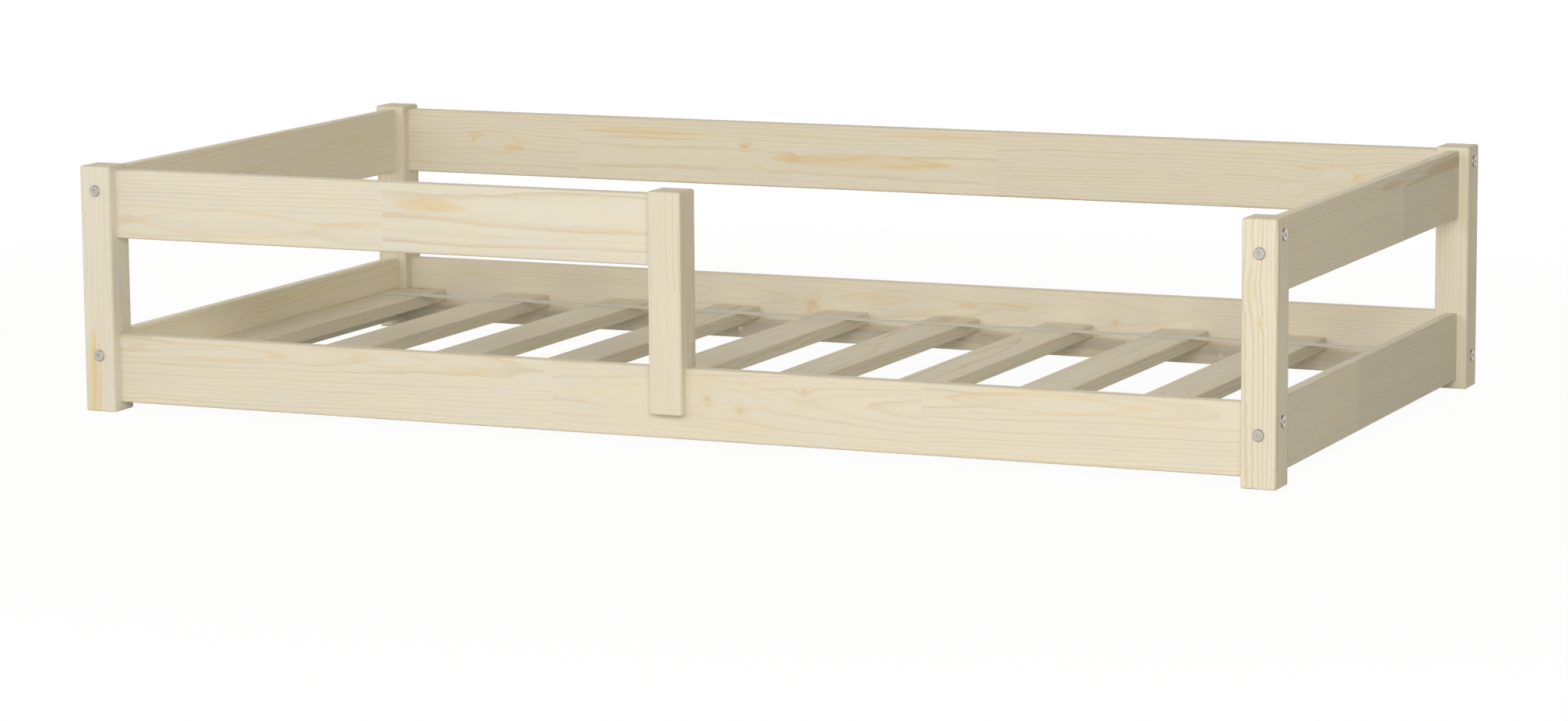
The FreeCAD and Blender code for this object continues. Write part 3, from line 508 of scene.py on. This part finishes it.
CROSSWISE = "yzx"
# The left rails' tones, 1.16 and 1.07, are raised as painted light: they stand in for the light
# that falls on their inner faces.
pine("left_lower_end_rail", CROSSWISE,
     [(-70, -20, 0, 0.01, 5.0, 1.16), (70, -20, 0.01, 0, 4.6, 1.16)], joints=[-33],
     flames=[(28, 31, 70, 4, 0.5)], depth=0.6, seed=21.0)
pine("left_upper_end_rail", CROSSWISE, [(-60, -30, 0.02, 0.02, 5.0, 1.07)],
     eyes=[(262, 3, 34, 12, -6)], rims=[(262, 3, 30, 11, 0.35)], knots=[(69, -16, 3.0)],
     depth=0.45, seed=22.0)
pine("right_lower_end_rail", CROSSWISE,
     [(-70, -10, 0.01, 0, 4.6, 1.02), (80, -20, 0, 0, 4.8, 0.965)],
     joints=[-55], depth=0.55, seed=23.0)
pine("right_upper_end_rail", CROSSWISE,
     [(80, -10, -0.01, 0, 4.4, 1.02), (70, -14, 0.02, 0, 4.4, 0.955)], joints=[139],
     eyes=[(70, 36, 40, 12, -6), (250, 34, 60, 14, -5)],
     flames=[(84, 34, 60, 5, 0.8, LATE_WOOD), (335, 33, 120, 8, 1.0, LATE_WOOD),
             (215, 27, 90, 3, 0.8, LATE_WOOD), (-345, 24, 40, 5, 0.35)], depth=0.55, seed=24.0)

# ---------------------------------------------------------------- ledgers and slats
# Two pine ledgers, 26 by 18 mm, screwed inside the long lower rails, carry ten loose pine slats of
# 70 by 18 mm. The end slats are notched round the posts and screwed down.

pine("front_slat_ledger", LENGTHWISE, [(-4, 30, 0, 0.01, 4.0, 0.98)], seed=31.0)
pine("back_slat_ledger", LENGTHWISE, [(6, -30, 0, 0.01, 4.0, 0.98)], seed=32.0)

ACROSS_BED = "yxz"
hearts = np.random.default_rng(7).uniform(
    [-45, -60, -0.02, -0.02, 3.8, 0.99], [45, -22, 0.02, 0.02, 5.2, 1.04], (10, 6))
for index, heart in enumerate(hearts.tolist()):
    pine(f"slat_{index + 1:02d}", ACROSS_BED, [tuple(heart)], seed=40.0 + index)

# ---------------------------------------------------------------- webbing tapes
# Two flat woven tapes, 25 mm wide, that hold the slats in a roll. They are stapled to each slat and
# sag a little between them.

# The tape's white, and a darker grey that is painted shade for the hollows of the weave.
TAPE_FACE = (0.92, 0.92, 0.90, 1.0)
TAPE_PAINTED_SHADE = (0.74, 0.74, 0.72, 1.0)
RIB_PITCH = 0.0024
RIB_HEIGHT = 0.00010
RIB_POINTS = 4
CORD_PITCH = 0.0016
SAG = 0.0007
LOOP_POINTS = 20
LOOP_POWER = 8
FUZZ_FINENESS = (900.0, 900.0, 900.0)


def tape(name, node, slats):
    """A woven tape over the slats: a closed tube whose section is the flat loop y^8 + z^2 = 1.

    Its top rises and falls as a cosine of the rib pitch, and between two slats it hangs by a
    squared sine.
    """
    low, high = (np.array(corner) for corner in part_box(node))
    half, middle = (high - low) / 2, (high + low) / 2
    x = np.linspace(low[0], high[0], int((high[0] - low[0]) / (RIB_PITCH / RIB_POINTS)))[:, None]
    starts = np.array([box[1][0] for box in slats[:-1]])
    stops = np.array([box[0][0] for box in slats[1:]])
    inside = np.clip((x - starts) / (stops - starts), 0.0, 1.0)
    hang = SAG * (np.sin(np.pi * inside) ** 2).sum(1, keepdims=True)
    rib = RIB_HEIGHT * (1 - np.cos(2 * np.pi * x / RIB_PITCH))
    turn = np.linspace(0.0, 2 * np.pi, LOOP_POINTS, endpoint=False)
    y = middle[1] + half[1] * np.sign(np.cos(turn)) * np.abs(np.cos(turn)) ** (2 / LOOP_POWER)
    z = middle[2] - hang + np.sin(turn) * np.where(np.sin(turn) > 0, half[2] - rib, half[2])
    points = np.stack(np.broadcast_arrays(x, y, z), -1).reshape(-1, 3)
    number = np.arange(z.size).reshape(z.shape)
    after = np.roll(number, -1, 1)
    sides = np.stack([number[:-1], after[:-1], after[1:], number[1:]], -1).reshape(-1, 4)
    made = sheet_of(name, points, [*sides.tolist(), number[0, ::-1].tolist(), number[-1].tolist()])
    made.data.shade_smooth()
    return made


tape_finish, surface = finish_named("woven_tape")
place = surface.node("ShaderNodeTexCoord", output="Object")
pitches = place * (1 / RIB_PITCH, 1 / CORD_PITCH, 1.0)
yarns = place.node("ShaderNodeSeparateXYZ", inputs={0: pitches})
weft, warp = yarns.sibling("X"), yarns.sibling("Y")
shifted = weft + work("FLOOR", warp) * 0.5
cross = work("PINGPONG", shifted, 0.5) * 2.0
cord = work("PINGPONG", warp, 0.5) * 2.0
woven = cross * 0.5 + cord * 0.5
fuzz = noise(place * FUZZ_FINENESS, 2.0)
# Painted shade: where the weave sinks between the yarns the tape takes the darker grey, and the
# fuzz varies it at random.
colour = blend(woven * 0.8 + fuzz * 0.5, TAPE_PAINTED_SHADE, TAPE_FACE)
bump = woven.node("ShaderNodeBump", inputs={
    "Strength": 0.6, "Distance": 0.0002, "Height": woven + fuzz * 0.4})
shader = surface.node("ShaderNodeBsdfPrincipled", inputs={
    "Base Color": colour, "Roughness": 0.8, "Normal": bump})
tape_finish.node_tree.links.new(shader.socket, surface.socket)

slat_boxes = [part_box(f"slat_{number:02d}") for number in range(1, 11)]
for side in ("front", "back"):
    strap = tape(f"{side}_woven_tape", f"{side}_webbing_tape", slat_boxes)
    strap.data.materials.append(tape_finish)
    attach(strap, "root")
    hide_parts(f"{side}_webbing_tape")

# ---------------------------------------------------------------- bolts, screws and staples
# Zinc-plated steel: flat-headed connector bolts with a hexagon socket in threaded inserts, yellow
# wood screws in the ledgers, slats and guard post, and the wire staples of the tapes.


# Cloudy patches and rubbed marks in a metre, and the painted shade of faces that aren't square to
# the bed.
CLOUD_FINENESS = (160.0, 160.0, 160.0)
RUB_FINENESS = (2600.0, 900.0, 900.0)
PAINTED_BEVEL_SHADE = (0.75, 0.95, 0.55, 1.0)


def plated(name, colour, roughness):
    """Satin zinc plate with rubbed marks and cloudy patches, with painted shade on bevels and in
    sockets and a painted highlight on faces along X.
    """
    material, surface = finish_named(name)
    place = surface.node("ShaderNodeTexCoord", output="Object")
    cloud = noise(place * CLOUD_FINENESS, 2.0)
    rub = noise(place * RUB_FINENESS, 2.0)
    facing = place.node("ShaderNodeSeparateXYZ", inputs={0: place.sibling("Normal")})
    endways, sideways = (work("ABSOLUTE", facing.sibling(axis)) for axis in "XY")
    # Painted shade: faces that point neither along X nor along Y, the bevels and the socket walls,
    # are darkened to 0.55.
    flat = ramp(work("MAXIMUM", endways, sideways), *PAINTED_BEVEL_SHADE)
    # Painted highlight: faces that point along X, such as the heads on the posts' sides, are made
    # up to 30% lighter.
    shade = (cloud * 0.25 + rub * 0.2 + 1.0) * flat * (endways * 0.3 + 1.0)
    plate = blend(1.0, colour, vector_of(shade, shade, shade), "MULTIPLY")
    height = rub * 0.3
    bump = height.node("ShaderNodeBump", inputs={
        "Strength": 0.3, "Distance": 0.0001, "Height": height})
    shader = surface.node("ShaderNodeBsdfPrincipled", inputs={
        "Base Color": plate, "Metallic": 0.85, "Roughness": cloud * 0.2 + roughness,
        "Normal": bump})
    material.node_tree.links.new(shader.socket, surface.socket)
    return material


CORNERS = ("front_left", "front_right", "rear_left", "rear_right")
bolt_plate = plated("zinc_bolt_plate", colour=(0.49, 0.47, 0.43, 1.0), roughness=0.42)
for node in [f"{corner}_connector_bolts" for corner in CORNERS] + ["blanking_bolt"]:
    dress(node, bolt_plate)
insert_plate = plated("zinc_insert_plate", colour=(0.62, 0.58, 0.46, 1.0), roughness=0.38)
for corner in CORNERS:
    dress(f"{corner}_insert_nuts", insert_plate)
screw_plate = plated("yellow_screw_plate", colour=(0.62, 0.52, 0.35, 1.0), roughness=0.45)
for node in ("front_ledger_screws", "back_ledger_screws", "end_slat_screws", "guard_post_screws"):
    dress(node, screw_plate)
wire_plate = plated("bright_wire", colour=(0.62, 0.62, 0.62, 1.0), roughness=0.30)
dress("tape_staples", wire_plate)

# ---------------------------------------------------------------- dowels
# Beech dowels of 8 mm beside each bolt, and two that hold the guard rail to its post.

BEECH_DARK = (0.56, 0.39, 0.24, 1.0)
BEECH_PALE = (0.68, 0.50, 0.33, 1.0)
FLECK_FINENESS = (420.0, 420.0, 420.0)

beech, surface = finish_named("beech_dowel")
place = surface.node("ShaderNodeTexCoord", output="Object")
fleck = noise(place * FLECK_FINENESS, 2.0)
tone = ramp(fleck, -0.25, 0.3)
shader = surface.node("ShaderNodeBsdfPrincipled", inputs={
    "Base Color": blend(tone, BEECH_DARK, BEECH_PALE), "Roughness": 0.6})
beech.node_tree.links.new(shader.socket, surface.socket)
for node in [f"{corner}_dowels" for corner in CORNERS] + ["guard_rail_dowels"]:
    dress(node, beech)
